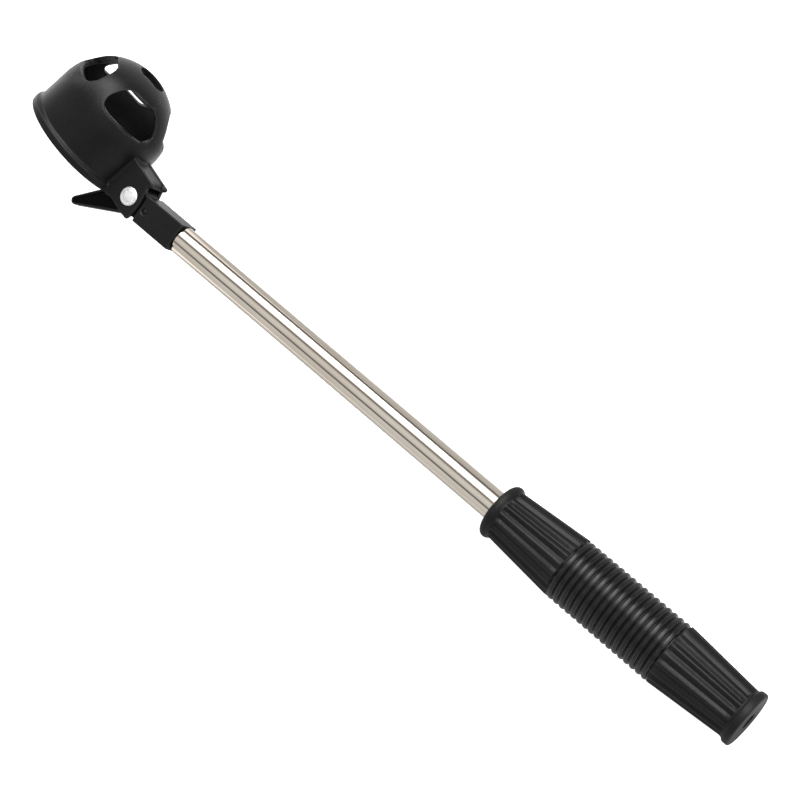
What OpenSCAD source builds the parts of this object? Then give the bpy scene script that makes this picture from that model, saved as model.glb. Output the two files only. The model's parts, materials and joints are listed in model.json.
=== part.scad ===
// Telescoping ball retriever, folded shut and lying on its side.
// The origin is the centre of the grip's butt face, on the shaft's axis.
// +X runs along the shaft to the cup, +Z runs along the hinge rivet towards its head,
// and the cup's crown points to -Y with its mouth facing +Y.

/* [Shaft] */
// Outside diameter of the outer tube
tube_od = 13; // [12.6:0.1:14]
// Loss of diameter from one tube to the next smaller one
tube_step = 1; // [0.95:0.05:1.05]
// Wall thickness of every tube
tube_wall = 0.3; // [0.25:0.05:0.3]
// Distance from the butt to the neck's end face
neck_face_x = 317; // [300:1:330]
// Length of each brass sleeve
sleeve_len = 24; // [15:1:30]

/* [Grip] */
// Length of the grip
grip_len = 130; // [120:1:140]
// Largest diameter, over the ribs
grip_od = 28; // [26:0.5:30]
// Diameter of the rounded flanges at both ends
flange_od = 25; // [24:0.5:26]
// Diameter of the tapers where they meet the flanges
taper_od = 22.8; // [21:0.2:24]
// Number of round ribs
rib_count = 17; // [12:1:20]
// Diameter of the hanging hole in the butt
butt_hole_d = 7.2; // [5:0.2:8]

/* [Neck and finger] */
// Width and height of the square neck
neck_w = 13; // [12:0.5:14]
// Distance from the rivet's axis back to the neck's end face
neck_reach = 29.3; // [28:0.1:34]
// Diameter of the knuckle round the rivet
knuckle_d = 15.4; // [14.4:0.2:15.6]
// Width of the knuckle, between the ears
knuckle_w = 9.8; // [9:0.1:9.9]
// Distance from the rivet's axis to the finger's tip, along the shaft
finger_run = 23.8; // [20:0.2:28]
// Distance from the rivet's axis down to the finger's tip
finger_drop = 18; // [15:0.1:20]
// Width of the finger
finger_w = 5.5; // [5:0.5:8]

/* [Cup] */
// Outside diameter of the dome and skirt
cup_od = 55; // [54.6:0.2:56]
// Wall thickness of the cup
cup_wall = 3; // [2.6:0.1:3.2]
// Depth of the skirt below the dome's centre
skirt_depth = 19.1; // [18:0.1:24]
// Diameter of the rim's lip
lip_od = 57.6; // [57:0.2:60]
// Height of the rim's lip
lip_h = 3.6; // [3:0.1:5]
// Diameter of the hole in the crown
crown_hole_d = 13.6; // [10:0.2:18]
// Lean of the crown towards the handle, in degrees
cup_lean = 15; // [12:1:18]
// Half of each window's width, in degrees of azimuth
window_half = 33; // [25:1:35]
// Height of each window's lower edge above the dome's centre
window_low = 8.2; // [5:0.1:10]
// Height of each window's arched top above the dome's centre
window_high = 21.7; // [17:0.1:22]

/* [Hinge] */
// Diameter of the rivet's shank
rivet_d = 4; // [3:0.1:5]
// Diameter of the rivet's head
rivet_head_d = 8.5; // [7:0.1:9]
// Thickness of each hinge ear
ear_t = 2; // [1.5:0.1:2.2]
// Gap between the ears
ear_gap = 10; // [10:0.1:10.4]

/* [Hidden] */
$fn = 96;

run_gap = 0.05;   // radial clearance where parts slide or turn
seat_gap = 0.02;  // radial clearance where parts are pressed together
cut = 1;          // overshoot of a cutting shape past the surface it cuts

// Shaft
core_face_x = 84;                      // front face of the handle core's spigot
tube_base_x = 85;                      // base of every inner tube when folded
main_base_x = 78;                      // base of the outer tube
mouth_x = neck_face_x - 0.5;           // mouth of every tube but the smallest
lip_len = 1.5;                         // length of the rolled-in lip at each mouth
bead_len = 1;                          // length of the flared bead at each base
bead_h = 0.13;                         // height of that bead
function tube_r(i) = (tube_od - (i - 1) * tube_step) / 2;
function bore_r(i) = tube_r(i) - tube_wall;

// Grip
flange_t = 4.8;
butt_wall = 8;
rib_zone = 51.8;
back_taper = 35.2;
rib_pitch = rib_zone / rib_count;
rib_r = rib_pitch * 0.56;
rib_x0 = flange_t + back_taper;
grip_root = grip_od / 2 - 1;

// Neck and hinge
pivot_x = neck_face_x + neck_reach;
pivot_y = -1;
shoulder_x = pivot_x - 7.5;
socket_end_x = shoulder_x - 0.9;
pin_x = shoulder_x - 2.5;
pin_d = 2.4;
pin_len = neck_w - 0.8;
pin_seat_d = 3.4;                      // recess round each end of the cross pin
pin_seat_depth = 0.3;
edge_r = 0.9;
finger_tip_r = 2;
finger_len = norm([finger_run, finger_drop]);
finger_dir = atan2(finger_drop, finger_run);
arm_r = knuckle_d / 2 - 0.3;
web_depth = 1;
web_margin = 1.5;
web_start_r = knuckle_d / 2 + 0.3;
ear_out = ear_gap / 2 + ear_t;
head_h = 1.3;
washer_t = 0.8;
washer_d = 8;
tail_d = 6;
tail_h = 0.8;

// Cup, in its own frame: x to the handle, y to the crown, z along the rivet
cup_r = cup_od / 2;
cup_in = cup_r - cup_wall;
dome_x = -38.4;
dome_y = 10.1;
rim_y = dome_y - skirt_depth;
fillet_r = 1.4;
ear_top = 12;
bridge_top = 11.5;
bridge_t = 1.4;
bridge_flat = 0.2;                     // where the bridging wall's top starts to slope down
bridge_end = 3;
slot_w = 8.6;
slot_top = -1;
skirt_x = dome_x + cup_r;
brow_in = 2.5;                         // how far the brow reaches in from the windows' arched tops
brow_drop = 2.35;                      // how far it hangs below them
brow_t = 2;

// ---------- shared shapes ----------

// Turns a profile of [distance along x, radius] points about the shaft's axis.
module turned(points) {
    rotate([0, 90, 0]) rotate_extrude() polygon([for (p = points) [p[1], p[0]]]);
}

// A square with round corners, centred.
module round_square(w, r) {
    square([w - 2 * r, w], center = true);
    square([w, w - 2 * r], center = true);
    for (x = [-1, 1], y = [-1, 1]) translate([x, y] * (w / 2 - r)) circle(r);
}

// A flat arm that starts r1 wide on each side of the centre and ends in a circle r2
// at distance d in direction dir.
module tapered_arm(r1, r2, d, dir, steps = 12) {
    spread = acos((r1 - r2) / d);
    tip = d * [cos(dir), sin(dir)];
    function around(c, r, a) = c + r * [cos(a), sin(a)];
    polygon(concat([around([0, 0], r1, dir + spread)],
        [for (k = [0:steps]) around(tip, r2, dir + spread * (1 - 2 * k / steps))],
        [around([0, 0], r1, dir - spread)]));
}

// Places a child, drawn in the cup's frame, on the rivet's axis.
module in_cup_frame() {
    translate([pivot_x, pivot_y, 0]) rotate([0, 0, 180 - cup_lean]) children();
}

// ---------- shaft ----------

// Tube number i, from x0 to x1. Its mouth may be rolled in to guide the next tube,
// and its base may be flared to hold a sleeve.
module tube(i, x0, x1, rolled, flared) {
    r = tube_r(i);
    b = bore_r(i);
    guide = rolled ? tube_r(i + 1) + run_gap : b;
    flare = flared ? bead_h : 0;
    turned([[x0, r + flare], [x0 + bead_len, r + flare], [x0 + bead_len, r],
        [x1 - tube_wall, r], [x1, r - (rolled ? tube_wall : 0)],
        [x1, guide], [x1 - lip_len, guide], [x1 - lip_len, b], [x0, b]]);
}

module section(i) { color("silver") tube(i, tube_base_x, mouth_x, true, true); }

module main_tube() { color("silver") tube(1, main_base_x, mouth_x, true, false); }

module tip_tube() {
    color("silver") difference() {
        tube(9, tube_base_x, socket_end_x, false, true);
        translate([pin_x, 0, 0]) cylinder(d = pin_d + 2 * seat_gap, h = tube_od, center = true);
    }
}

// Thin brass sleeve on the base of tube i, just ahead of the flared bead.
module sleeve(i) {
    x0 = tube_base_x + bead_len + run_gap;
    inner = tube_r(i) + seat_gap / 2;
    outer = bore_r(i - 1) - run_gap;
    color("goldenrod")
        turned([[x0, inner], [x0 + sleeve_len, inner], [x0 + sleeve_len, outer], [x0, outer]]);
}

// ---------- grip ----------

// Plug that fills the grip behind the outer tube and closes that tube's base.
module handle_core() {
    core_r = tube_od / 2;
    spigot_r = bore_r(1) - seat_gap;
    color("dimgray")
        turned([[butt_wall, 0], [butt_wall, core_r], [main_base_x, core_r],
            [main_base_x, spigot_r], [core_face_x, spigot_r], [core_face_x, 0]]);
}

// Front flange with a fully rounded edge, centred on x.
module front_flange(x) {
    round_r = flange_t / 2;
    translate([x, 0, 0]) rotate([0, 90, 0]) {
        cylinder(r = flange_od / 2 - round_r, h = flange_t, center = true);
        rotate_extrude() translate([flange_od / 2 - round_r, 0]) circle(round_r, $fn = 48);
    }
}

// Butt flange: flat face, small round at the face and a larger one behind it.
module butt_flange(face_r = 1.1, back_r = 1.6, steps = 6) {
    rim = flange_od / 2;
    function corner(x, r, from, to) = [for (k = [0:steps])
        let (a = from + (to - from) * k / steps) [x + r * cos(a), rim - r + r * sin(a)]];
    turned(concat([[0, 0]], corner(face_r, face_r, 180, 90),
        corner(flange_t - back_r, back_r, 90, 20), [[flange_t, taper_od / 2 - 0.2], [flange_t, 0]]));
}

module grip() {
    rib_end = rib_x0 + rib_zone;
    half_root = taper_od / 2;
    color("#1c1c1e") difference() {
        union() {
            butt_flange();
            front_flange(grip_len - flange_t / 2);
            turned([[0.6, 0], [0.6, half_root - 0.6], [flange_t, half_root], [rib_x0, grip_od / 2],
                [rib_x0, grip_root], [rib_end, grip_root], [rib_end, grip_od / 2],
                [grip_len - flange_t, half_root], [grip_len - 0.6, half_root - 0.6],
                [grip_len - 0.6, 0]]);
            for (k = [0:rib_count - 1])
                translate([rib_x0 + (k + 0.5) * rib_pitch, 0, 0]) rotate([0, 90, 0])
                    rotate_extrude() translate([grip_od / 2 - rib_r, 0]) circle(rib_r, $fn = 32);
        }
        translate([butt_wall - seat_gap, 0, 0]) rotate([0, 90, 0])
            cylinder(r = tube_od / 2 + seat_gap, h = grip_len);
        translate([-cut, 0, 0]) rotate([0, 90, 0]) cylinder(d = butt_hole_d, h = butt_wall + cut);
    }
}

// ---------- neck ----------

module neck_block() {
    block_len = shoulder_x - neck_face_x;
    color("#232325") difference() {
        union() {
            translate([neck_face_x, 0, 0]) rotate([0, 90, 0])
                linear_extrude(block_len) round_square(neck_w, edge_r);
            translate([shoulder_x - cut, -neck_w / 2 + edge_r, -knuckle_w / 2])
                cube([pivot_x - shoulder_x + cut, neck_w - 2 * edge_r, knuckle_w]);
            translate([pivot_x, pivot_y, 0]) {
                cylinder(d = knuckle_d, h = knuckle_w, center = true);
                linear_extrude(finger_w, center = true)
                    tapered_arm(arm_r, finger_tip_r, finger_len, finger_dir);
            }
        }
        // recessed webs on both faces of the finger, inside a raised border
        for (side = [-1, 1])
            translate([pivot_x, pivot_y, side * finger_w / 2])
                linear_extrude(2 * web_depth, center = true) difference() {
                    tapered_arm(arm_r - web_margin, finger_tip_r - 0.8, finger_len, finger_dir);
                    circle(web_start_r);
                }
        // socket for the smallest tube, its cross pin and the rivet
        translate([neck_face_x - cut, 0, 0]) rotate([0, 90, 0])
            cylinder(r = tube_r(9) + seat_gap, h = socket_end_x - neck_face_x + cut + 0.1);
        translate([pin_x, 0, 0]) cylinder(d = pin_d + 2 * seat_gap, h = 2 * neck_w, center = true);
        for (side = [-1, 1]) translate([pin_x, 0, side * neck_w / 2])
            cylinder(d = pin_seat_d, h = 2 * pin_seat_depth, center = true);
        translate([pivot_x, pivot_y, 0])
            cylinder(d = rivet_d + 2 * seat_gap, h = 2 * neck_w, center = true);
    }
}

module neck_pin() {
    color("dimgray") translate([pin_x, 0, 0]) cylinder(d = pin_d, h = pin_len, center = true);
}

// ---------- hinge ----------

module hinge_rivet() {
    head_z = ear_out + run_gap;
    tail_z = -(ear_out + 2 * run_gap + washer_t);
    color("white") translate([pivot_x, pivot_y, 0]) {
        translate([0, 0, tail_z]) cylinder(d = rivet_d, h = head_z - tail_z);
        translate([0, 0, head_z]) rotate_extrude() intersection() {
            cap_r = (pow(rivet_head_d / 2, 2) + head_h * head_h) / (2 * head_h);
            translate([0, head_h - cap_r]) circle(cap_r);
            square([rivet_head_d / 2, head_h]);
        }
        translate([0, 0, tail_z - tail_h]) cylinder(d1 = rivet_d, d2 = tail_d, h = tail_h);
    }
}

module rivet_washer() {
    color("gainsboro") translate([pivot_x, pivot_y, -(ear_out + run_gap + washer_t)])
        difference() {
            cylinder(d = washer_d, h = washer_t);
            translate([0, 0, -cut]) cylinder(d = rivet_d + 2 * seat_gap, h = washer_t + 2 * cut);
        }
}

// ---------- cup ----------

// Half of the cup's section: radius outwards, height up from the dome's centre.
module cup_section() {
    lip_r = lip_od / 2;
    difference() {
        union() {
            intersection() {
                circle(cup_r);
                square(cup_r);
            }
            translate([0, -skirt_depth]) square([cup_r, skirt_depth]);
            translate([0, -skirt_depth]) square([lip_r, lip_h]);
            translate([cup_r, lip_h - skirt_depth]) difference() {
                square(fillet_r);
                translate([fillet_r, fillet_r]) circle(fillet_r, $fn = 48);
            }
        }
        circle(cup_in);
        translate([-cut, -skirt_depth - cut]) square([cup_in + cut, skirt_depth + cut]);
        translate([-cut, 0]) square([crown_hole_d / 2 + cut, cup_od]);
        translate([-cup_od, -cup_od]) square([cup_od, 2 * cup_od]);
    }
}

// Outline of a window seen square on: straight sill with round corners, arched top.
module window_outline(steps = 16, corner = 5, arch = 3.9) {
    rise = window_high - window_low;
    function level(k) = window_low + rise * (1 - cos(180 * k / steps)) / 2;
    function side(v) = cup_r * sin(window_half) * sqrt(1 - pow(v / cup_r, 2));
    function arched(v) = pow(max(0, 1 - pow((v - window_low) / rise, arch)), 1 / arch);
    function rounded(v) = v > window_low + corner ? 0
        : corner - sqrt(pow(corner, 2) - pow(window_low + corner - v, 2));
    function half(v) = max(0, side(v) * arched(v) - rounded(v));
    polygon(concat([for (k = [0:steps]) [half(level(k)), level(k)]],
        [for (k = [steps - 1:-1:0]) [-half(level(k)), level(k)]]));
}

// Side view of an ear, from the crown's side round the handle's side to the rim. A small hook
// overhangs the handle edge, which is curved so that it lies square to the shaft at rest.
module ear_outline() {
    polygon([[skirt_x - 2, ear_top], [3.4, ear_top], [3.9, ear_top - 0.7], [3.7, 10], [2.8, 9.7],
        [2.8, 9.1], [4, 6.6], [5, 3.5], [6.2, 0.2], [6.9, -2.5], [7.2, -4.8], [6.7, -7.3], [2.5, -7.7],
        [-5.5, -7.3], [-8, -7.9], [skirt_x + 1.2, rim_y + 0.6], [skirt_x - 2, rim_y + 0.6]]);
}

// Side view of the wall that bridges the ears.
module bridge_outline() {
    polygon([[skirt_x - 2, bridge_top], [bridge_flat, bridge_top], [bridge_end, bridge_top - bridge_t],
        [bridge_end, bridge_top - 2 * bridge_t + 0.4], [bridge_flat, bridge_top - bridge_t],
        [skirt_x - 2, bridge_top - bridge_t]]);
}

// Section of the brow, a sloping rim inside the dome over the windows' arched tops.
module brow_section() {
    top_r = sqrt(pow(cup_r, 2) - pow(window_high, 2));
    foot = [top_r - brow_in, window_high - brow_drop];
    polygon([[top_r - 0.6, window_high + 0.2], foot, foot + [-brow_t, brow_t * 0.7],
        foot + [-brow_t / 2, brow_t * 1.6]]);
}

module cup() {
    window_reach = cup_od;
    color("#232325") in_cup_frame() {
        translate([dome_x, dome_y, 0]) rotate([-90, 0, 0]) rotate_extrude() brow_section();
        difference() {
            union() {
                translate([dome_x, dome_y, 0]) rotate([-90, 0, 0]) rotate_extrude() cup_section();
                // ears and the bridging wall over them, trimmed flush with the skirt's inside
                difference() {
                    union() {
                        for (side = [-1, 1])
                            translate([0, 0, side * (ear_gap + ear_t) / 2])
                                linear_extrude(ear_t, center = true) ear_outline();
                        linear_extrude(ear_gap + 1, center = true) bridge_outline();
                    }
                    translate([dome_x, rim_y - cut, 0]) rotate([-90, 0, 0])
                        cylinder(r = cup_in + 0.5, h = dome_y - rim_y + 2 * cut + 1);
                }
            }
            // windows between the webs
            translate([dome_x, dome_y, 0]) for (k = [0:3])
                rotate([0, 45 + 90 * k, 0]) linear_extrude(window_reach) window_outline();
            // slot in the skirt that lets the finger through
            translate([skirt_x - 5, rim_y - cut, -slot_w / 2])
                cube([9, slot_top - rim_y + cut, slot_w]);
            cylinder(d = rivet_d + 2 * run_gap, h = 4 * ear_out, center = true);
        }
    }
}

cup();
neck_block();
hinge_rivet();
rivet_washer();
neck_pin();
main_tube();
section(2);  // section_2
section(3);  // section_3
section(4);  // section_4
section(5);  // section_5
section(6);  // section_6
section(7);  // section_7
section(8);  // section_8
tip_tube();
sleeve(2);  // sleeve_2
sleeve(3);  // sleeve_3
sleeve(4);  // sleeve_4
sleeve(5);  // sleeve_5
sleeve(6);  // sleeve_6
sleeve(7);  // sleeve_7
sleeve(8);  // sleeve_8
sleeve(9);  // sleeve_9
handle_core();
grip();
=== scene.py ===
"""Telescoping ball retriever, lying on its side on a pale floor.

The scene is in metres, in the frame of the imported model: +X along the shaft to the cup, +Z along the hinge
rivet, the cup's crown towards -Y. Pieces are modelled in millimetres and scaled when they are placed.
"""
import json
import math

import bmesh
import bpy
import numpy as np
from mathutils import Matrix, Vector


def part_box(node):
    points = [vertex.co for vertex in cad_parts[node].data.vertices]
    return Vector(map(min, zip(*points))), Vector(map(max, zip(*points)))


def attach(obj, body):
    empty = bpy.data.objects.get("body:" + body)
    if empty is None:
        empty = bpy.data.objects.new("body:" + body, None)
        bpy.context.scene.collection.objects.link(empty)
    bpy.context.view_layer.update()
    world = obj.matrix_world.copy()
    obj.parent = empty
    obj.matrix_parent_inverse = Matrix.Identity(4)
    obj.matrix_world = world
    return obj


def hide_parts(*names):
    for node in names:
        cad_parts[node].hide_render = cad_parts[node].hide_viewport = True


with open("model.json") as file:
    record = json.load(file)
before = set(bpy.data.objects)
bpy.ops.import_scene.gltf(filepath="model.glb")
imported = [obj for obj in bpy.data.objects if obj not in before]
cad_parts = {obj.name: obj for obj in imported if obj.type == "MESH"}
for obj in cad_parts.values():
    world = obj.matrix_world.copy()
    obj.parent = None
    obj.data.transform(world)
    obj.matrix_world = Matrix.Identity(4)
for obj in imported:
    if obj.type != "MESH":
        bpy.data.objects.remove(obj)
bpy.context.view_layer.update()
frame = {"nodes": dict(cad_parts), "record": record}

MM = 0.001
TAU = 2 * math.pi


# ---------- dimensions read from the frame, in millimetres ----------

def box_mm(node):
    """Lowest and highest corner of a CAD node, in millimetres."""
    low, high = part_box(node)
    return [v / MM for v in low], [v / MM for v in high]


def joint(name):
    """The record's entry for one joint."""
    return next(j for j in frame["record"]["behaviour"]["joints"] if j["name"] == name)


def mount(name):
    """The record's entry for one mount."""
    return next(m for m in frame["record"]["mounts"] if m["name"] == name)


def body_of(node):
    """The body that a CAD node belongs to."""
    bodies = frame["record"]["behaviour"]["bodies"]
    return next(body for body, nodes in bodies.items() if node in nodes)


PIVOT = [v / MM for v in joint("cup_tilt")["pos_m"]]
GRIP_LOW, GRIP_HIGH = box_mm("grip")
NECK_LOW, NECK_HIGH = box_mm("neck_block")
RIVET_LOW, RIVET_HIGH = box_mm("hinge_rivet")
PIN_LOW, PIN_HIGH = box_mm("neck_pin")
HOLE_R = mount("butt_hole")["dims"]["r_mm"]


# ---------- dimensions that the boxes don't give, in millimetres ----------

# tubes
TUBE_WALL = 0.3
FLARE = 0.13  # how far an inner tube's base flares out
FLARE_LENGTH = 1.0
FLARE_SLOPE = 0.3  # length over which the flare runs out
MOUTH_ROLL = 0.5  # radius of the mouth's rolled outer edge
MOUTH_CLOSE = 0.12  # how far the rolled mouth closes in on the bore
MOUTH_LENGTH = 1.6  # how far the mouth's narrow part reaches in

# grip
FLANGE_T = 4.8  # thickness of the butt flange and of the front bead
FLANGE_R = 12.5
FLANGE_ROUND = 1.6  # rounding of the butt flange's edge towards the taper
BUTT_ROUND = 1.1  # rounding of its edge towards the butt
BUTT_INSET = 0.15  # how far the butt's face lies inside the CAD box
TAPER_R = 11.4  # radius of a taper where it meets its flange
TAPER_GAP = 0.5  # gap between a taper and the ribs
RIB_COUNT = 17
RIB_START = 40.0
RIB_END = 91.8
RIB_R = 1.4
RIB_H = 1.0
RIB_CREASE = 0.12  # depth of the crease between two ribs
FLUTE_COUNT = 19
FLUTE_DEPTH = 0.85
FLUTE_TURN = math.radians(97)  # where one ridge stands, turned from +Y towards +Z
FLUTE_TOP = 0.055  # half of the flat on a ridge and in a flute, as a share of the flutes' spacing
FLUTE_SOFT = 0.012  # half width of the rounding at a flat's edge, as the same share

# neck block
SHOULDER = 7.5  # distance from the rivet's axis back to the neck's shoulder
KNUCKLE_R = 7.7
KNUCKLE_HALF = 4.9  # half width of the knuckle
TONGUE_INSET = 0.9  # how far the knuckle's root lies inside the neck's top and bottom
TONGUE_ROOT = 2.0  # how deep that root goes into the neck
ARM_INSET = 0.3  # how far the finger's root lies inside the knuckle
FINGER_HALF = 2.75  # half width of the finger
FINGER_TIP_R = 2.0
WEB_DEPTH = 1.0  # depth of the recess in each side of the finger
WEB_ROOT_MARGIN = 1.5  # edge left beside the recess at the finger's root
WEB_TIP_MARGIN = 0.75  # edge left beside it at the finger's tip
PIN_SEAT_R = 1.7
PIN_SEAT_DEPTH = 0.3
BORE_PLAY = 0.05  # clearance of the neck's bores
FINE_VOXEL = 0.22  # mesh size of the neck's surface

# rivet and pin
RIVET_R = 2.0
HEAD_H = 1.3
DISC_FALL = 0.3  # how much lower the disc on the rivet's head is at its edge than in its middle
PIN_R = 1.2
PIN_BEVEL = 0.3  # length of the bevel at each end
PIN_FACE_R = 0.85

# cup, in its own frame: x to the handle, y to the crown, z along the rivet
CUP_LEAN = 15  # degrees by which the crown leans to the handle
DOME_X = -38.4  # centre of the dome
DOME_Y = 10.1
CUP_R = 27.5
CUP_IN = 24.5
SKIRT = 19.1  # depth of the rim below the dome's centre
LIP_R = 28.8
LIP_H = 3.6
CROWN_HOLE_R = 6.8
WINDOW_HALF = math.radians(33)  # half of a window's width, as an angle round the cup
WINDOW_LOW = 8.2  # sill and top of a window, above the dome's centre
WINDOW_HIGH = 21.7
WINDOW_CORNER = 5.0
WINDOW_ARCH = 3.9  # power of the arch's curve: 2 is a half ellipse, more is squarer
BROW_IN = 2.5  # how far the brow's foot lies inside the wall's outside at the windows' tops
BROW_DROP = 2.35  # how far it hangs below the windows' tops
BROW_T = 2.0
WALL_ROOT = 1.6  # how deep the ears and the bridge are rooted in the cup's wall
EAR_TOP = 12.0
EAR_IN = 5.0  # inner and outer face of an ear, from the middle plane
EAR_OUT = 7.0
EAR_EDGE_X = 2.75  # where the ear's handle edge starts, under the hook
EAR_EDGE_Y = 9.3
EAR_EDGE_DROP = 14.0  # length of that edge down the ear
EAR_EDGE_BOW = 4.45  # how far the edge swings out towards the handle
EAR_CORNER_R = 0.6
EAR_FILLET_R = 4.1
BRIDGE_TOP = 11.5
BRIDGE_T = 1.4
BRIDGE_FLAT = 0.2  # where the bridge's top starts to slope down
BRIDGE_END = 3.0
SLOT_HALF = 4.3  # half width of the slot in the skirt behind the ears
SLOT_TOP = -1.0
CUP_BORE_PLAY = 0.08
CUP_VOXEL = 0.3  # mesh size of the cup's surface
RIM_X = PIVOT[0] + 39.9  # about where the lip rests on the floor


# ---------- finishes and stage, in metres ----------

DARK_PLASTIC = (0.003, 0.003, 0.0031)
LIGHT_PLASTIC = (0.0055, 0.0055, 0.0057)
PLASTIC_SHINE = 0.25
PLASTIC_ROUGH = 0.31

FLOOR_SIDE = 3.0  # half of the floor's side
FLOOR_GAP = 0.0001  # between the tool and the floor
FLOOR_GLOW = 0.8  # the floor's own light to the camera
FLOOR_FAR = 0.3  # painted reflection: how bright the floor is mirrored far out on the -Y side
FLOOR_SELF = 0.6  # share of the mirrored floor's brightness that is a painted glow, which no shadow dims
# (gain, y where it starts, y where it is full): painted reflections, how much brighter the floor is mirrored
# towards +Y
FLOOR_STEPS = [(0.16, -0.3, -0.05), (0.4, -0.02, -0.015), (-0.42, -0.008, 0.002), (0.15, 0.03, 0.08)]
# (gain, x where it starts, x where it is full): the same painted reflections behind the butt and under the
# head
FLOOR_ENDS = [(0.5, 0.0, -0.02), (0.5, 0.335, 0.36)]

BAND_LEAN = 11.3  # degrees
# (degrees round the shaft from straight above, brightness); the crown's side is positive
LIGHT_BANDS = [(-180, 0.5), (-90, 0.6), (-64, 0.68), (-58, 0.64), (-52, 0.12), (-46, 0.12), (-39, 0.6),
               (-30, 0.68), (-12, 0.74), (-4, 0.6), (2, 0.4), (5, 0.12), (10, 0.12), (15, 0.6),
               (19, 1.6), (28, 2.4), (33, 3.6), (44, 3.6), (48, 2.4), (56, 1.6), (63, 0.4),
               (70, 0.09), (80, 0.12), (92, 0.3), (120, 0.42), (179, 0.5)]

CAMERA_TARGET = (0.191553, -0.008121, 0.0)
CAMERA_DISTANCE = 0.83194
CAMERA_AZIMUTH = -152.366  # this and the next two in degrees
CAMERA_ELEVATION = 67.698
CAMERA_ROLL = -79.346
CAMERA_LENS = 90.68  # focal length in millimetres


# ---------- mesh helpers ----------

def new_mesh(name, verts, faces):
    mesh = bpy.data.meshes.new(name)
    mesh.from_pydata([tuple(v) for v in verts], [], faces)
    mesh.update()
    return mesh


def new_object(name, data):
    obj = bpy.data.objects.new(name, data)
    bpy.context.scene.collection.objects.link(obj)
    return obj


def baked(obj):
    """The object's mesh with its modifiers applied. The object is removed."""
    graph = bpy.context.evaluated_depsgraph_get()
    mesh = bpy.data.meshes.new_from_object(obj.evaluated_get(graph))
    mesh.name = obj.name
    bpy.data.objects.remove(obj)
    return mesh


def joined(name, meshes):
    """One mesh that holds several closed shells, which may pass through each other."""
    bm = bmesh.new()
    for mesh in meshes:
        bm.from_mesh(mesh)
    out = bpy.data.meshes.new(name)
    bm.to_mesh(out)
    bm.free()
    return out


def carved(mesh, cutters):
    """The mesh with each cutter's volume taken away."""
    obj = new_object(mesh.name, mesh)
    tools = []
    for k, cutter in enumerate(cutters):
        tool = new_object(f"cutter_{k}", cutter)
        tools.append(tool)
        mod = obj.modifiers.new(f"cut_{k}", "BOOLEAN")
        mod.operation = "DIFFERENCE"
        mod.solver = "EXACT"
        mod.object = tool
    out = baked(obj)
    for tool in tools:
        bpy.data.objects.remove(tool)
    return out


def moulded(mesh, voxel, passes):
    """Fuses the shells of a mesh into one skin and softens its edges, as a mould does."""
    obj = new_object(mesh.name, mesh)
    fuse = obj.modifiers.new("fuse", "REMESH")
    fuse.mode = "VOXEL"
    fuse.voxel_size = voxel
    soften = obj.modifiers.new("soften", "SMOOTH")
    soften.factor = 0.5
    soften.iterations = passes
    return baked(obj)


def place(name, mesh, matrix, body, material, node):
    """Puts a mesh that was modelled in millimetres into the frame, in place of its CAD node."""
    mesh.transform(Matrix.Scale(MM, 4) @ matrix)
    mesh.materials.clear()
    mesh.materials.append(material)
    mesh.polygons.foreach_set("use_smooth", [True] * len(mesh.polygons))
    obj = new_object(name, mesh)
    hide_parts(node)
    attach(obj, body)


def arc(cx, cy, r, start, end, steps):
    """Points along a circle's arc, angles in degrees."""
    angles = np.radians(np.linspace(start, end, steps + 1))
    return [(cx + r * math.cos(a), cy + r * math.sin(a)) for a in angles]


def straight(start, end, steps):
    """Points from start to end."""
    return [tuple(np.add(start, np.multiply(f, np.subtract(end, start))))
            for f in np.linspace(0, 1, steps + 1)]


def evenly(count):
    """Angles of a full turn in equal steps."""
    return np.linspace(0, TAU, count, endpoint=False)


def revolved(name, outline, angles, shape=None):
    """Turns a closed outline of (height, radius) points about +X; a point with radius 0 becomes a pole.

    angles are those of the mesh's lengthwise lines, and shape(x, r, angles) may change the radii."""
    count = len(angles)
    verts, rings = [], []
    for x, r in outline:
        if r <= 0:
            rings.append([len(verts)])
            verts.append((x, 0, 0))
            continue
        radii = shape(x, r, angles) if shape else np.full(count, r)
        rings.append(list(range(len(verts), len(verts) + count)))
        verts += [(x, q * math.cos(a), q * math.sin(a)) for q, a in zip(radii, angles)]
    faces = []
    for low, high in zip(rings, rings[1:] + rings[:1]):
        if len(low) == 1 and len(high) == 1:
            continue
        for k in range(count):
            n = (k + 1) % count
            if len(low) == 1:
                faces.append((low[0], high[n], high[k]))
            elif len(high) == 1:
                faces.append((low[k], low[n], high[0]))
            else:
                faces.append((low[k], low[n], high[n], high[k]))
    mesh = new_mesh(name, verts, faces)
    outward(mesh)
    return mesh


def outward(mesh):
    """Turns every face of a closed mesh to face outwards."""
    bm = bmesh.new()
    bm.from_mesh(mesh)
    bmesh.ops.recalc_face_normals(bm, faces=bm.faces)
    bm.to_mesh(mesh)
    bm.free()


def prism(name, outline, low, high):
    """An outline in XY, given as points, pushed from z = low to z = high."""
    n = len(outline)
    verts = [(x, y, low) for x, y in outline] + [(x, y, high) for x, y in outline]
    faces = [tuple(range(n)), tuple(range(n, 2 * n))]
    faces += [(k, (k + 1) % n, n + (k + 1) % n, n + k) for k in range(n)]
    mesh = new_mesh(name, verts, faces)
    outward(mesh)
    return mesh


def block(name, low, high):
    """A box used as one ingredient of a fused moulding."""
    outline = [(low[0], low[1]), (high[0], low[1]), (high[0], high[1]), (low[0], high[1])]
    return prism(name, outline, low[2], high[2])


def rod(name, r, low, high):
    """A plain round rod along Z, used as an ingredient or a cutter."""
    return prism(name, [(r * math.cos(a), r * math.sin(a)) for a in evenly(96)], low, high)


def beside(side, near, far):
    """Lower and upper end of a slab from near to far on one side of the middle plane."""
    return sorted((side * near, side * far))


def turned(mesh, degrees, axis):
    mesh.transform(Matrix.Rotation(math.radians(degrees), 4, axis))
    return mesh


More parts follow.
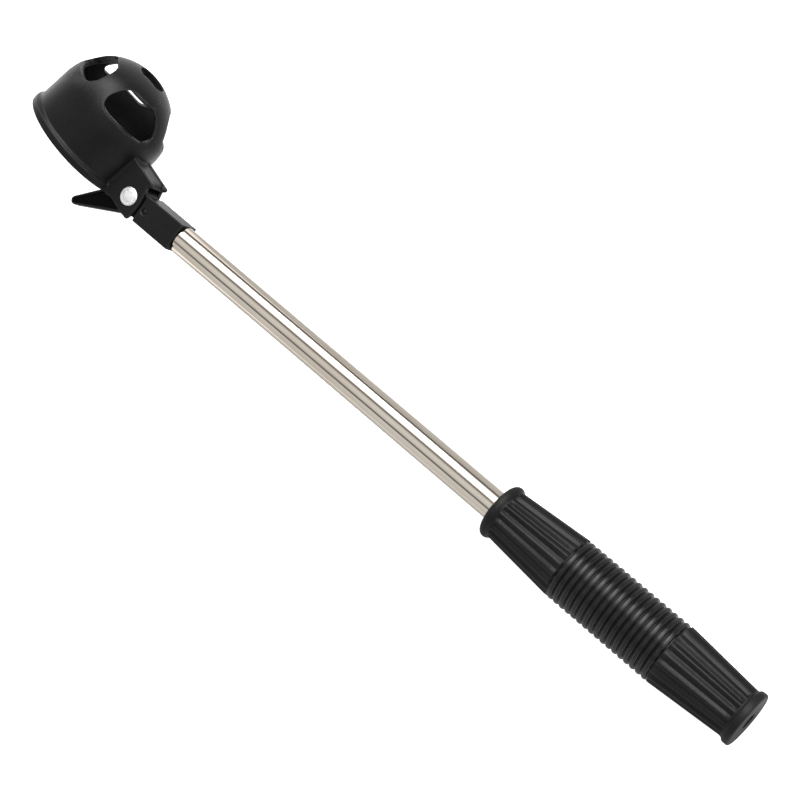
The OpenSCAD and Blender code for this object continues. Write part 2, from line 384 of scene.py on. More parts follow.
def shifted(mesh, x, y, z):
    mesh.transform(Matrix.Translation((x, y, z)))
    return mesh


# ---------- material helpers ----------

class Nodes:
    """A short way to write a node tree."""

    def __init__(self, tree, coordinates):
        self.tree = tree
        self.tree.nodes.clear()
        self.place = self.add("ShaderNodeTexCoord").outputs[coordinates]

    def add(self, kind, **values):
        node = self.tree.nodes.new(kind)
        for key, value in values.items():
            setattr(node, key, value)
        return node

    def link(self, out, into):
        self.tree.links.new(out, into)

    def feed(self, socket, value):
        """Sets a socket to a colour or a number, or links it to another node's output."""
        if isinstance(value, tuple):
            socket.default_value = (*value, 1.0)
        elif isinstance(value, (int, float)):
            socket.default_value = value
        else:
            self.link(value, socket)

    def axis(self, name):
        """One of the piece's own coordinates, in metres."""
        node = self.add("ShaderNodeSeparateXYZ")
        self.link(self.place, node.inputs["Vector"])
        return node.outputs[name]

    def stretched(self, x, y, z):
        """The piece's own coordinates, in metres, scaled along each axis."""
        node = self.add("ShaderNodeMapping")
        node.inputs["Scale"].default_value = (x, y, z)
        self.link(self.place, node.inputs["Vector"])
        return node.outputs["Vector"]

    def noise(self, vector, scale, detail=3.0, rough=0.5):
        """Noise with scale cycles to each unit of the vector, from 0 to 1."""
        node = self.add("ShaderNodeTexNoise")
        for name, value in (("Vector", vector), ("Scale", scale), ("Detail", detail), ("Roughness", rough)):
            self.feed(node.inputs[name], value)
        return node.outputs["Fac"]

    def ranged(self, value, low, high, from_low=0.0, from_high=1.0):
        """low where value is from_low, high where it is from_high, blended between and held beyond."""
        node = self.add("ShaderNodeMapRange")
        ends = {"Value": value, "From Min": from_low, "From Max": from_high, "To Min": low, "To Max": high}
        for name, end in ends.items():
            self.feed(node.inputs[name], end)
        return node.outputs["Result"]

    def maths(self, operation, a, b):
        """One step of arithmetic on numbers or outputs."""
        node = self.add("ShaderNodeMath", operation=operation)
        self.feed(node.inputs[0], a)
        self.feed(node.inputs[1], b)
        return node.outputs["Value"]

    def mixed(self, fac, a, b):
        """A colour between a and b."""
        node = self.add("ShaderNodeMix", data_type="RGBA")
        self.link(fac, node.inputs["Factor"])
        self.feed(node.inputs[6], a)
        self.feed(node.inputs[7], b)
        return node.outputs[2]

    def bumped(self, height, distance, strength=1.0, below=None):
        """A normal bumped by height, which stands for up to distance metres, over the normal below."""
        node = self.add("ShaderNodeBump")
        node.inputs["Strength"].default_value = strength
        node.inputs["Distance"].default_value = distance
        self.link(height, node.inputs["Height"])
        if below is not None:
            self.link(below, node.inputs["Normal"])
        return node.outputs["Normal"]

    def edges(self, low=0.5, high=0.56):
        """1 on sharp outer edges, 0 elsewhere."""
        geometry = self.add("ShaderNodeNewGeometry")
        return self.ranged(geometry.outputs["Pointiness"], 0.0, 1.0, low, high)


class Finish(Nodes):
    """The node tree of a material with one principled shader."""

    def __init__(self, name):
        self.material = bpy.data.materials.new(name)
        self.material.use_nodes = True
        super().__init__(self.material.node_tree, "Object")
        self.shader = self.add("ShaderNodeBsdfPrincipled")
        out = self.add("ShaderNodeOutputMaterial")
        self.link(self.shader.outputs["BSDF"], out.inputs["Surface"])

    def set(self, **inputs):
        """Feeds the shader's inputs. An underscore stands for a space in an input's name."""
        for key, value in inputs.items():
            self.feed(self.shader.inputs[key.replace("_", " ")], value)


def moulded_plastic(name, dark, light, rough, recess=None):
    """Black plastic with a fine spark-eroded grain, faint flow marks and edges worn smoother, which also
    carry a painted highlight: a lighter colour for the light their rounding catches.

    recess, a function of the finish's nodes, marks recessed areas that are made duller and get painted
    shade, a darker colour."""
    n = Finish(name)
    grain = n.noise(n.place, 3400.0, 4.0, 0.6)
    mottle = n.noise(n.place, 1500.0, 3.0, 0.6)
    flow = n.noise(n.stretched(1.0, 1.4, 1.0), 55.0, 3.0, 0.55)
    edge = n.edges()
    pale, edge_highlight = [tuple(gain * c for c in light) for gain in (2.4, 5)]
    base = n.mixed(n.ranged(flow, 0.0, 1.0, 0.3, 0.7), dark, light)
    base = n.mixed(n.ranged(mottle, 0.0, 0.5, 0.5, 0.75), base, pale)
    # painted highlight: sharp edges are mixed towards a lighter colour for the light they catch
    base = n.mixed(n.maths("MULTIPLY", edge, 0.7), base, edge_highlight)
    roughness = n.maths("ADD", n.ranged(grain, rough - 0.07, rough + 0.07),
                        n.maths("MULTIPLY", edge, -0.08))
    normal = n.bumped(mottle, 0.00016, 0.5)
    normal = n.bumped(grain, 0.00006, 0.6, normal)
    normal = n.bumped(flow, 0.0002, 0.25, normal)
    shine = PLASTIC_SHINE
    if recess:
        inside = recess(n)
        # painted shade: the recess is coloured darker for the shade that falls in it
        base = n.mixed(inside, base, tuple(0.5 * c for c in dark))
        shine = n.ranged(inside, PLASTIC_SHINE, 0.07)
    n.set(Base_Color=base, Roughness=roughness, Normal=normal, IOR=1.46, Specular_IOR_Level=shine)
    return n.material


def finger_recess(n):
    """1 on the recessed webs of the finger, where painted shade darkens the plastic, 0 elsewhere."""
    height = n.maths("ABSOLUTE", n.axis("Z"), 0)
    top = (FINGER_HALF - WEB_DEPTH / 2) * MM
    low = n.ranged(height, 1.0, 0.0, top - 0.1 * MM, top + 0.1 * MM)
    start = (PIVOT[0] + RIVET_R) * MM
    return n.maths("MULTIPLY", low, n.ranged(n.axis("X"), 0.0, 1.0, start, start + 0.5 * MM))


def grip_rubber():
    """Soft black rubber with a dusty grain, lighter on its sharp edges. The ribs are the smoothest part, the
    tapers are duller and the flanges duller still."""
    n = Finish("grip_rubber")
    grain = n.noise(n.place, 2200.0, 5.0, 0.65)
    cloud = n.noise(n.stretched(0.5, 1.0, 1.0), 90.0, 4.0, 0.6)
    dust = n.noise(n.place, 1300.0, 3.0, 0.6)
    edge = n.edges(0.5, 0.58)
    base = n.mixed(n.ranged(cloud, 0.0, 1.0, 0.3, 0.7), (0.0025, 0.0025, 0.0026), (0.005, 0.005, 0.0052))
    base = n.mixed(n.ranged(dust, 0.0, 0.6, 0.5, 0.75), base, (0.016, 0.016, 0.0165))
    # sharp edges are mixed towards a lighter grey
    base = n.mixed(n.maths("MULTIPLY", edge, 0.5), base, (0.02, 0.02, 0.02))
    middle = (RIB_START + RIB_END) / 2 * MM
    from_middle = n.maths("ABSOLUTE", n.maths("SUBTRACT", n.axis("X"), middle), 0)
    ribs = (RIB_END - RIB_START) / 2 * MM
    flanges = ((GRIP_HIGH[0] - GRIP_LOW[0]) / 2 - FLANGE_T) * MM
    blend = 0.5 * MM
    duller = n.maths("ADD", n.ranged(from_middle, 0.0, 0.15, ribs, ribs + blend),
                     n.ranged(from_middle, 0.0, 0.12, flanges, flanges + blend))
    roughness = n.maths("ADD", n.ranged(grain, 0.14, 0.28), duller)
    normal = n.bumped(dust, 0.00012, 0.5)
    normal = n.bumped(grain, 0.00006, 0.6, normal)
    shine = n.ranged(from_middle, 0.36, 0.24, ribs, ribs + blend)
    n.set(Base_Color=base, Roughness=roughness, Normal=normal, IOR=1.5, Specular_IOR_Level=shine)
    return n.material


def polished_steel():
    """Drawn stainless tube, polished along its length, with faint handling smudges."""
    n = Finish("polished_steel")
    streaks = n.noise(n.stretched(6.0, 900.0, 900.0), 2.0, 4.0, 0.6)
    smudge = n.noise(n.stretched(1.0, 2.0, 2.0), 38.0, 4.0, 0.6)
    fine = n.noise(n.stretched(40.0, 4000.0, 4000.0), 1.0, 2.0)
    tint = n.mixed(n.ranged(smudge, 0.0, 1.0, 0.35, 0.7), (0.87, 0.79, 0.69), (0.8, 0.71, 0.605))
    roughness = n.maths("ADD", n.ranged(streaks, 0.06, 0.13),
                        n.ranged(smudge, 0.0, 0.05, 0.45, 0.75))
    normal = n.bumped(fine, 0.000004, 0.5)
    n.set(Base_Color=tint, Metallic=1.0, Roughness=roughness, Normal=normal)
    return n.material


def bright_metal(name, colour, rough, metallic=1.0):
    """Plated or brass metal with fine turning marks and small dull spots. A satin plating scatters
    part of the light, which a metallic value below 1 gives."""
    n = Finish(name)
    marks = n.noise(n.stretched(1800.0, 700.0, 1800.0), 1.0, 3.0, 0.6)
    spots = n.noise(n.place, 700.0, 3.0)
    darker = tuple(0.82 * c for c in colour)
    tint = n.mixed(n.ranged(spots, 0.0, 1.0, 0.45, 0.7), colour, darker)
    roughness = n.maths("ADD", n.ranged(marks, rough - 0.05, rough + 0.05),
                        n.ranged(spots, 0.0, 0.08, 0.5, 0.7))
    normal = n.bumped(marks, 0.00001, 0.5)
    n.set(Base_Color=tint, Metallic=metallic, Roughness=roughness, Normal=normal)
    return n.material


def floor_paper():
    """Pale seamless paper, pure white to the camera. What the tool mirrors of it carries painted
    reflections: it is brighter in a strip along the shaft on the crown's side, under the head and behind the
    butt, and part of that is a painted glow that no shadow dims."""
    n = Finish("floor_paper")
    fibre = n.noise(n.place, 400.0, 4.0)
    paper = n.mixed(fibre, (0.93, 0.93, 0.93), (0.96, 0.96, 0.96))
    # painted reflections: the floor's brightness as the tool mirrors it, set strip by strip
    painted_bounce = FLOOR_FAR
    for axis, steps in (("Y", FLOOR_STEPS), ("X", FLOOR_ENDS)):
        for gain, start, end in steps:
            painted_bounce = n.maths("ADD", painted_bounce, n.ranged(n.axis(axis), 0.0, gain, start, end))
    seen = n.add("ShaderNodeLightPath").outputs["Is Camera Ray"]
    lit = n.maths("MULTIPLY", painted_bounce, 1.0 - FLOOR_SELF)
    base = n.mixed(seen, n.mixed(lit, (0.0, 0.0, 0.0), (1.0, 1.0, 1.0)), paper)
    glow = n.maths("MULTIPLY", seen, FLOOR_GLOW)
    # painted glow: to rays other than the camera's, part of that brightness shines out, so no shadow dims it
    painted_glow = n.maths("MULTIPLY", n.maths("SUBTRACT", 1.0, seen), n.maths("MULTIPLY", painted_bounce, FLOOR_SELF))
    n.set(Base_Color=base, Roughness=0.9, Normal=n.bumped(fibre, 0.00005, 0.3), Specular_IOR_Level=0.0,
          Emission_Color=(1.0, 1.0, 1.0), Emission_Strength=n.maths("ADD", glow, painted_glow))
    return n.material


# ---------- shaft ----------

def tube_mesh(node):
    """A drawn tube with a rolled mouth, sized by its CAD node. All but the main tube have a flared base."""
    low, high = box_mm(node)
    base, mouth = low[0], high[0]
    widest = (high[1] - low[1]) / 2
    flare = 0.0 if node == "main_tube" else FLARE
    r = widest - flare
    bore = r - TUBE_WALL
    outline = [(base, bore), (base, widest)]
    if flare:
        outline += [(base + FLARE_LENGTH, widest), (base + FLARE_LENGTH + FLARE_SLOPE, r)]
    outline += [(base + f * (mouth - base), r) for f in np.linspace(0.1, 0.9, 9)]
    outline += arc(mouth - MOUTH_ROLL, r - MOUTH_ROLL, MOUTH_ROLL, 90, 15, 8)
    lip = bore - MOUTH_CLOSE
    outline += [(mouth - 0.02, lip), (mouth - 0.5, lip - 0.02), (mouth - MOUTH_LENGTH, bore)]
    return revolved(node, outline, evenly(128))


def build_shaft(steel, brass, core):
    """The nine tubes. The brass sleeves and the handle core keep their CAD solids."""
    for node in ["main_tube"] + [f"section_{k}" for k in range(2, 9)] + ["tip_tube"]:
        place(f"{node}_skin", tube_mesh(node), Matrix.Identity(4), body_of(node), steel, node)
    for k in range(2, 10):
        paint(f"sleeve_{k}", brass)
    paint("handle_core", core)


def paint(node, material):
    """Gives a CAD node its finished material."""
    obj = frame["nodes"][node]
    obj.data.materials.clear()
    obj.data.materials.append(material)


# ---------- grip ----------

def grip_outline():
    """The grip's outer outline from the butt to the front, as (x, r) points, without its flutes."""
    end = GRIP_HIGH[0]
    crest = (GRIP_HIGH[1] - GRIP_LOW[1]) / 2
    bead = FLANGE_T / 2
    back, front = RIB_START - TAPER_GAP, RIB_END + TAPER_GAP
    top_drop = 0.02
    # a taper's edge beside the ribs: (towards the ribs, below the crest)
    edge = [(0.1, 0.12), (0.15, RIB_H)]
    groove = crest - RIB_H - RIB_CREASE

    points = arc(BUTT_ROUND + 0.2, FLANGE_R - BUTT_ROUND, BUTT_ROUND, 175, 90, 8)
    points += arc(FLANGE_T - FLANGE_ROUND - 0.6, FLANGE_R - FLANGE_ROUND, FLANGE_ROUND, 90, 22, 8)
    points += [(FLANGE_T - 0.3, TAPER_R + 0.1), (FLANGE_T, TAPER_R)]
    points += straight((FLANGE_T + 0.3, TAPER_R), (back, crest - top_drop), 12)
    points += [(back + x, crest - drop) for x, drop in edge]
    pitch = (RIB_END - RIB_START) / RIB_COUNT
    foot = math.degrees(math.asin(1 - RIB_H / RIB_R))
    for k in range(RIB_COUNT):
        x = RIB_START + (k + 0.5) * pitch
        points += [(x - pitch / 2, groove)]
        points += arc(x, crest - RIB_R, RIB_R, 180 - foot, foot, 12)
    points += [(RIB_END, groove)]
    points += [(front - x, crest - drop) for x, drop in reversed(edge)]
    points += straight((front, crest - top_drop), (end - FLANGE_T - 0.3, TAPER_R), 12)
    points += [(end - FLANGE_T, TAPER_R), (end - FLANGE_T + 0.2, TAPER_R + 0.1)]
    points += arc(end - bead, FLANGE_R - bead, bead, 145, 8, 16)
    return points


def bore_outline():
    """The rest of the grip's outline: its front face, the tube's bore, the butt hole and the butt's face."""
    end = GRIP_HIGH[0]
    bore = box_mm("main_tube")[1][1]
    wall = box_mm("handle_core")[0][0]
    points = [(end - 0.12, FLANGE_R - 2.1), (end - 0.05, bore + 1.2), (end - 0.3, bore + 0.25)]
    points += [(end - 0.8, bore), (wall, bore), (wall, HOLE_R), (0.8, HOLE_R), (0.4, HOLE_R)]
    points += [(BUTT_INSET + 0.1, HOLE_R + 0.04)]
    points += [(BUTT_INSET, r) for r in (HOLE_R + 0.12, HOLE_R + 0.22, FLANGE_R - BUTT_ROUND - 0.3)]
    return points


def flute_angles():
    """Angles of the grip's mesh: close pairs at the edges of the flutes' flats, a few between them."""
    inner, outer = FLUTE_TOP, 0.5 - FLUTE_TOP
    edges = [side * flat + soft for side in (-1, 1) for flat in (inner, outer)
             for soft in (-FLUTE_SOFT, FLUTE_SOFT)]
    walls = [side * (inner + f * (outer - inner)) for side in (-1, 1) for f in (0.25, 0.5, 0.75)]
    steps = sorted(edges + walls + [0.0, 0.5])
    turns = [(k + p) / FLUTE_COUNT * TAU for k in range(FLUTE_COUNT) for p in steps]
    return np.array(turns) + FLUTE_TURN


def fluted(x, r, angles):
    """Flutes with sloping walls along both tapers, cut between the flanges and the ribs."""
    back_taper = FLANGE_T + 0.2 < x < RIB_START - TAPER_GAP + 0.12
    front_taper = RIB_END + TAPER_GAP - 0.12 < x < GRIP_HIGH[0] - FLANGE_T - 0.2
    if not (back_taper or front_taper):
        return np.full(len(angles), r)
    phase = np.abs(((angles - FLUTE_TURN) / TAU * FLUTE_COUNT + 0.5) % 1.0 - 0.5)
    depth = np.clip((phase - FLUTE_TOP) / (0.5 - 2 * FLUTE_TOP), 0, 1)
    return r - FLUTE_DEPTH * depth


def build_grip(rubber):
    mesh = revolved("grip", grip_outline() + bore_outline(), flute_angles(), fluted)
    place("grip_skin", mesh, Matrix.Identity(4), body_of("grip"), rubber, "grip")


# ---------- neck ----------

def arm_outline(r1, r2, length, direction):
    """A tapered arm from a circle of radius r1 about the pivot to a round tip of radius r2."""
    spread = math.degrees(math.acos((r1 - r2) / length))
    c, s = math.cos(math.radians(direction)), math.sin(math.radians(direction))
    ends = [direction + spread, direction - spread]
    start, stop = [(r1 * math.cos(math.radians(a)), r1 * math.sin(math.radians(a))) for a in ends]
    return [start] + arc(length * c, length * s, r2, ends[0], ends[1], 20) + [stop]


def neck_solid(face, centre_y, half, length, direction):
    """Socket block, knuckle with its root, and finger, fused."""
    socket = block("socket", (face, centre_y - half, -half), (-SHOULDER, centre_y + half, half))
    tongue = block("tongue", (-SHOULDER - TONGUE_ROOT, centre_y - half + TONGUE_INSET, -KNUCKLE_HALF),
                   (0, centre_y + half - TONGUE_INSET, KNUCKLE_HALF))
    outline = arm_outline(KNUCKLE_R - ARM_INSET, FINGER_TIP_R, length, direction)
    arm = prism("arm", outline, -FINGER_HALF, FINGER_HALF)
    knuckle = rod("knuckle", KNUCKLE_R, -KNUCKLE_HALF, KNUCKLE_HALF)
    return moulded(joined("neck", [socket, tongue, arm, knuckle]), FINE_VOXEL, 2)


def web_cutter(side, half, length, direction):
    """The recess in one side of the finger, which stays clear of the knuckle."""
    outline = arm_outline(KNUCKLE_R - ARM_INSET - WEB_ROOT_MARGIN, FINGER_TIP_R - WEB_TIP_MARGIN,
                          length - 0.2, direction)
    web = prism("web", outline, *beside(side, FINGER_HALF - WEB_DEPTH, half + 1))
    return carved(web, [rod("ring", KNUCKLE_R + 0.3, -half, half)])


def build_neck(plastic):
    """Socket, knuckle and retaining finger as one moulding, modelled about the rivet's axis."""
    half = NECK_HIGH[2]
    face = NECK_LOW[0] - PIVOT[0]
    reach = NECK_HIGH[0] - FINGER_TIP_R - PIVOT[0]
    drop = NECK_HIGH[1] - FINGER_TIP_R - PIVOT[1]
    length, direction = math.hypot(reach, drop), math.degrees(math.atan2(drop, reach))
    centre_y = -PIVOT[1]
    solid = neck_solid(face, centre_y, half, length, direction)
    cutters = [web_cutter(side, half, length, direction) for side in (-1, 1)]
    tip = box_mm("tip_tube")[1]
    bore = turned(rod("bore", tip[1] - FLARE + BORE_PLAY, -1, tip[0] - NECK_LOW[0]), 90, "Y")
    cutters.append(shifted(bore, face, centre_y, 0))
    pin_x = (PIN_LOW[0] + PIN_HIGH[0]) / 2 - PIVOT[0]
    cutters.append(shifted(rod("pin_hole", PIN_R + BORE_PLAY, -half - 1, half + 1), pin_x, centre_y, 0))
    for side in (-1, 1):
        seat = rod("pin_seat", PIN_SEAT_R, *beside(side, half - PIN_SEAT_DEPTH, half + 1))
        cutters.append(shifted(seat, pin_x, centre_y, 0))
    cutters.append(rod("rivet_hole", RIVET_R + BORE_PLAY, -half - 1, half + 1))
    mesh = moulded(carved(solid, cutters), FINE_VOXEL, 4)
    place("neck_moulding", mesh, Matrix.Translation(PIVOT), body_of("neck_block"), plastic,
          "neck_block")


# ---------- hinge ----------

def turned_piece(name, node, outline, x, y, segments, material):
    """A turned part whose axis runs along Z at x, y."""
    mesh = revolved(node, outline, evenly(segments))
    to_z = Matrix.Rotation(math.radians(-90), 4, "Y")
    place(name, mesh, Matrix.Translation((x, y, 0)) @ to_z, body_of(node), material, node)


def build_rivet(metal):
    """The upset tail with its punched dimple, the shank, and a head with a rim, a shallow groove and a
    low disc."""
    top, bottom = RIVET_HIGH[2], RIVET_LOW[2]
    head_r = (RIVET_HIGH[0] - RIVET_LOW[0]) / 2
    under = top - HEAD_H
    # (height above the tail's end, radius)
    tail = [(0.25, 0), (0.12, 1.1), (0, 1.6), (0.05, 2.3), (0.35, 2.95), (0.8, 2.6), (0.85, RIVET_R)]
    # (height above the ear, distance in from the head's edge)
    rim = [(0, 0.25), (0.12, 0), (0.35, 0.03), (0.62, 0.25), (0.8, 0.6), (0.88, 0.9), (0.84, 1.1),
           (0.88, 1.3)]
    disc = np.linspace(head_r - 1.45, 0.35, 8)
    outline = [(bottom + h, r) for h, r in tail] + [(under - 0.02, RIVET_R)]
    outline += [(under + h, head_r - inset) for h, inset in rim]
    outline += [(top - DISC_FALL * (r / disc[0]) ** 2, r) for r in disc] + [(top, 0)]
    turned_piece("rivet_turned", "hinge_rivet", outline, PIVOT[0], PIVOT[1], 96, metal)


def build_washer(metal):
    """The burr washer: rounded on its outer side, square on the side that lies on the ear."""
    low, high = box_mm("rivet_washer")
    r = (high[0] - low[0]) / 2
    outer, inner = low[2], high[2]
    outline = [(outer + 0.15, RIVET_R + 0.03), (outer, RIVET_R + 0.25), (outer, r - 0.3)]
    outline += [(outer + 0.12, r - 0.06), (outer + 0.35, r), (inner - 0.08, r), (inner, r - 0.08)]
    outline += [(inner, RIVET_R + 0.03)]
    turned_piece("washer_turned", "rivet_washer", outline, PIVOT[0], PIVOT[1], 96, metal)


def build_pin(metal):
    """The cross pin, bevelled at both ends."""
    end = PIN_HIGH[2]
    outline = [(-end, 0), (-end, PIN_FACE_R), (-end + PIN_BEVEL, PIN_R)]
    outline += [(end - PIN_BEVEL, PIN_R), (end, PIN_FACE_R), (end, 0)]
    turned_piece("pin_turned", "neck_pin", outline, (PIN_LOW[0] + PIN_HIGH[0]) / 2, 0, 64, metal)


# ---------- cup ----------

def cup_outline():
    """Closed section of the cup: height above the dome's centre, radius."""
    rim, lip_top = -SKIRT, -SKIRT + LIP_H
    hole = math.degrees(math.asin(CROWN_HOLE_R / CUP_R))
    inner_hole = math.degrees(math.asin(CROWN_HOLE_R / CUP_IN))
    points = [(rim, CUP_IN), (rim, LIP_R - 0.4), (rim + 0.4, LIP_R), (lip_top - 0.3, LIP_R)]
    points += [(lip_top, LIP_R - 0.3), (lip_top + 0.25, CUP_R + 0.55), (lip_top + 1.2, CUP_R)]
    outside = arc(0, 0, CUP_R, 0, 90 - hole, 60)
    inside = arc(0, 0, CUP_IN, 90 - inner_hole, 0, 56)
    return points + [(height, r) for r, height in outside + inside]


def brow_outline():
    """Section of the sloping rim inside the dome over the windows' arched tops: height, radius."""
    top = math.sqrt(CUP_R ** 2 - WINDOW_HIGH ** 2)
    foot = (WINDOW_HIGH - BROW_DROP, top - BROW_IN)
    return [(WINDOW_HIGH + 0.2, top - 0.6), foot, (foot[0] + BROW_T * 0.7, foot[1] - BROW_T),
            (foot[0] + BROW_T * 1.6, foot[1] - BROW_T / 2)]


def window_outline():
    """A window seen square on: straight sill, round lower corners, arched top."""
    rise = WINDOW_HIGH - WINDOW_LOW
    steps = 28

    def half(v):
        side = CUP_R * math.sin(WINDOW_HALF) * math.sqrt(1 - (v / CUP_R) ** 2)
        arched = max(0.0, 1 - ((v - WINDOW_LOW) / rise) ** WINDOW_ARCH) ** (1 / WINDOW_ARCH)
        above = v - WINDOW_LOW
        corner = 0.0
        if above < WINDOW_CORNER:
            corner = WINDOW_CORNER - math.sqrt(WINDOW_CORNER ** 2 - (WINDOW_CORNER - above) ** 2)
        return max(0.02, side * arched - corner)

    levels = [WINDOW_LOW + rise * (1 - math.cos(math.pi * k / steps)) / 2 for k in range(steps + 1)]
    return [(half(v), v) for v in levels] + [(-half(v), v) for v in reversed(levels)]


def ear_outline():
    """Side view of an ear in the cup's frame: x to the handle, y to the crown.

    A small hook overhangs the handle edge, which bows out so that it lies square to the shaft. The lower
    edge runs back in a fillet to the skirt just above the rim."""
    wall = DOME_X + CUP_R
    root = wall - WALL_ROOT
    foot = DOME_Y - SKIRT + 0.5
    hook = [(3.4, EAR_TOP), (3.85, EAR_TOP - 0.5), (3.8, 10.1), (2.9, 9.8), (EAR_EDGE_X, EAR_EDGE_Y)]
    edge = [(EAR_EDGE_X + EAR_EDGE_BOW * math.sin(math.pi / 2 * f), EAR_EDGE_Y - EAR_EDGE_DROP * f)
            for f in np.linspace(0.1, 1, 10)]
    corner = arc(6.25, -6.8, EAR_CORNER_R, 5, -80, 5)
    fillet = arc(-5.2, -11.4, EAR_FILLET_R, 92, 135, 5)
    return ([(root, EAR_TOP)] + hook + edge + corner + [(2.5, -7.65)] + fillet
            + [(wall + 1.2, foot), (root, foot)])


def bridge_outline():
    """Side view of the wall that bridges the ears."""
    root = DOME_X + CUP_R - WALL_ROOT
    low = BRIDGE_TOP - BRIDGE_T
    return [(root, BRIDGE_TOP), (BRIDGE_FLAT, BRIDGE_TOP), (BRIDGE_FLAT + 1.2, BRIDGE_TOP - 0.25),
            (BRIDGE_END, low), (BRIDGE_END, low - 1.0), (BRIDGE_FLAT, low), (root, low)]


def dome_ring(name, outline):
    """Turns a section, given as height above the dome's centre and radius, about the cup's axis."""
    return shifted(turned(revolved(name, outline, evenly(256)), 90, "Z"), DOME_X, DOME_Y, 0)


def build_cup(plastic):
    """Dome, skirt, lip, ears and bridging wall as one moulding, modelled in the cup's own frame."""
    cutters = []
    for k in range(4):
        window = prism("window", window_outline(), 8, CUP_R + 5)
        cutters.append(shifted(turned(window, 45 + 90 * k, "Y"), DOME_X, DOME_Y, 0))
    shell = carved(dome_ring("cup", cup_outline()), cutters)
    brow = dome_ring("brow", brow_outline())
    ears = [prism("ear", ear_outline(), *beside(side, EAR_IN, EAR_OUT)) for side in (-1, 1)]
    bridge = prism("bridge", bridge_outline(), -EAR_IN - 0.5, EAR_IN + 0.5)
    fused = moulded(joined("cup", [shell, brow, bridge] + ears), CUP_VOXEL, 3)
    wall = DOME_X + CUP_R
    slot = block("slot", (wall - 5, DOME_Y - SKIRT - 1, -SLOT_HALF), (wall + 4, SLOT_TOP, SLOT_HALF))
    bore = rod("bore", RIVET_R + CUP_BORE_PLAY, -EAR_OUT - 2, EAR_OUT + 2)
    fused = moulded(carved(fused, [slot, bore]), CUP_VOXEL, 7)
    tilt = Matrix.Rotation(math.radians(180 - CUP_LEAN), 4, "Z")
    place("cup_moulding", fused, Matrix.Translation(PIVOT) @ tilt, body_of("cup"), plastic,
          "cup")


# ---------- stage ----------

def build_floor():
    """A large pale sheet, tilted by the small angle at which the tool rests on its cup and butt flange."""
    cup_rest = Vector((RIM_X * MM, 0, box_mm("cup")[0][2] * MM))
    grip_rest = Vector(((GRIP_LOW[0] + BUTT_ROUND) * MM, 0, -FLANGE_R * MM))
    along = (cup_rest - grip_rest).normalized()
    across = Vector((0, 1, 0))
    centre = (cup_rest + grip_rest) / 2 - along.cross(across) * FLOOR_GAP
    corners = [centre + along * u * FLOOR_SIDE + across * v * FLOOR_SIDE
               for u, v in ((-1, -1), (1, -1), (1, 1), (-1, 1))]
    floor = new_object("floor", new_mesh("floor", corners, [(0, 1, 2, 3)]))
    floor.data.materials.append(floor_paper())


def build_world():
    """Soft studio surround: pale bands that run along the shaft, as long light boxes would show."""
    world = bpy.data.worlds.new("studio")
    bpy.context.scene.world = world
    world.use_nodes = True
    n = Nodes(world.node_tree, "Generated")

    def along(direction):
        """How far the line of sight points along a direction."""
        node = n.add("ShaderNodeVectorMath", operation="DOT_PRODUCT")
        n.link(n.place, node.inputs[0])
        node.inputs[1].default_value = direction
        return node.outputs["Value"]

    lean = math.radians(BAND_LEAN)
    upwards = along((0, -math.sin(lean), math.cos(lean)))
    sideways = along((0, -math.cos(lean), -math.sin(lean)))
    turn = n.maths("ARCTAN2", sideways, upwards)
    ramp = n.add("ShaderNodeValToRGB")
    n.link(n.ranged(turn, 0.0, 1.0, -math.pi, math.pi), ramp.inputs["Fac"])
    elements = ramp.color_ramp.elements
    elements.remove(elements[-1])
    for degrees, level in LIGHT_BANDS:
        share = degrees / 360 + 0.5
        element = elements.new(share) if share > 0 else elements[0]
        element.color = (level, level, level, 1)
    seen = n.add("ShaderNodeLightPath").outputs["Is Camera Ray"]
    background = n.add("ShaderNodeBackground")
    n.link(n.mixed(seen, ramp.outputs["Color"], (1.0, 1.0, 1.0)), background.inputs["Color"])
    out = n.add("ShaderNodeOutputWorld")
    n.link(background.outputs["Background"], out.inputs["Surface"])


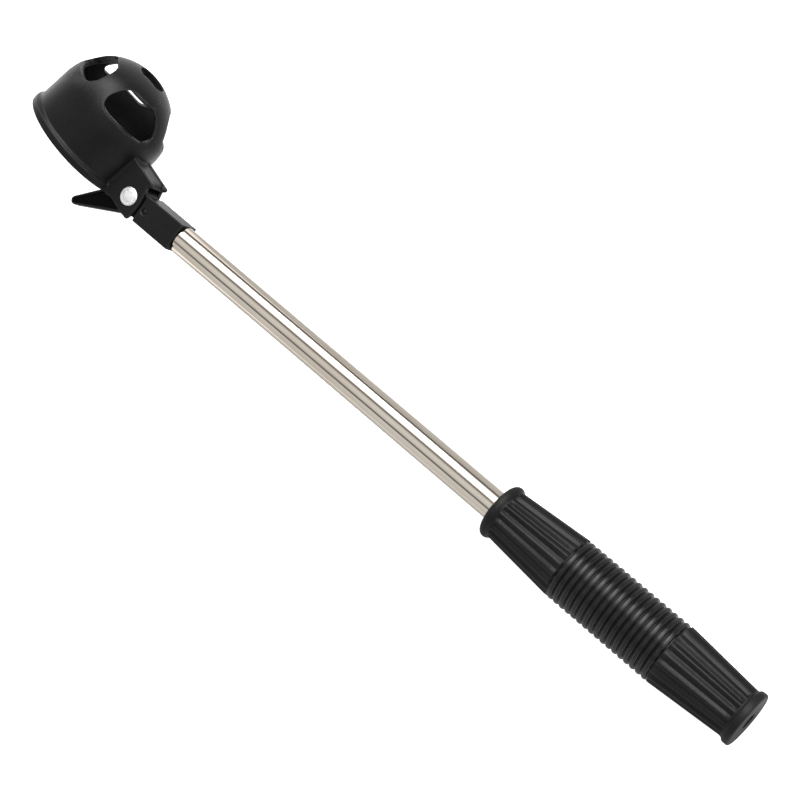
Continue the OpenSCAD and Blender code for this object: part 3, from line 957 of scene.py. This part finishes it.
def add_light(name, spot, aim, size, watts):
    """A square soft box at spot, facing aim."""
    data = bpy.data.lights.new(name, "AREA")
    data.shape = "SQUARE"
    data.size = size
    data.energy = watts
    light = new_object(name, data)
    light.location = spot
    light.rotation_mode = "QUATERNION"
    light.rotation_quaternion = (Vector(aim) - Vector(spot)).to_track_quat("-Z", "Y")


def build_camera():
    """Looks down on the tool from the handle's side, turned so that the shaft runs across the picture."""
    data = bpy.data.cameras.new("camera")
    data.lens = CAMERA_LENS
    camera = new_object("camera", data)
    azimuth, elevation = math.radians(CAMERA_AZIMUTH), math.radians(CAMERA_ELEVATION)
    back = Vector((math.cos(azimuth) * math.cos(elevation), math.sin(azimuth) * math.cos(elevation),
                   math.sin(elevation)))
    camera.location = Vector(CAMERA_TARGET) + back * CAMERA_DISTANCE
    camera.rotation_mode = "QUATERNION"
    roll = Matrix.Rotation(math.radians(CAMERA_ROLL), 4, "Z").to_quaternion()
    camera.rotation_quaternion = (-back).to_track_quat("-Z", "Y") @ roll
    bpy.context.scene.camera = camera


def build():
    bright = bright_metal("rivet_metal", (0.97, 0.97, 0.965), rough=0.24, metallic=0.7)
    brass = bright_metal("sleeve_brass", (0.83, 0.6, 0.27), rough=0.24)
    core = moulded_plastic("core_black", (0.02, 0.02, 0.02), (0.028, 0.028, 0.028), rough=0.5)
    build_shaft(polished_steel(), brass, core)
    build_grip(grip_rubber())
    build_neck(moulded_plastic("neck_black", DARK_PLASTIC, LIGHT_PLASTIC, PLASTIC_ROUGH, finger_recess))
    build_rivet(bright)
    build_washer(bright)
    build_pin(bright_metal("pin_steel", (0.03, 0.03, 0.031), rough=0.45))
    build_cup(moulded_plastic("moulded_black", DARK_PLASTIC, LIGHT_PLASTIC, PLASTIC_ROUGH))
    build_floor()
    build_world()
    add_light("key", spot=(0.1, -0.9, 1.3), aim=(0.25, 0, 0), size=0.8, watts=10)
    add_light("dome_light", spot=(0.64, -0.82, 0.54), aim=(0.38, -0.03, 0), size=0.4, watts=2.7)
    build_camera()
    bpy.context.scene.view_settings.view_transform = "Standard"


build()
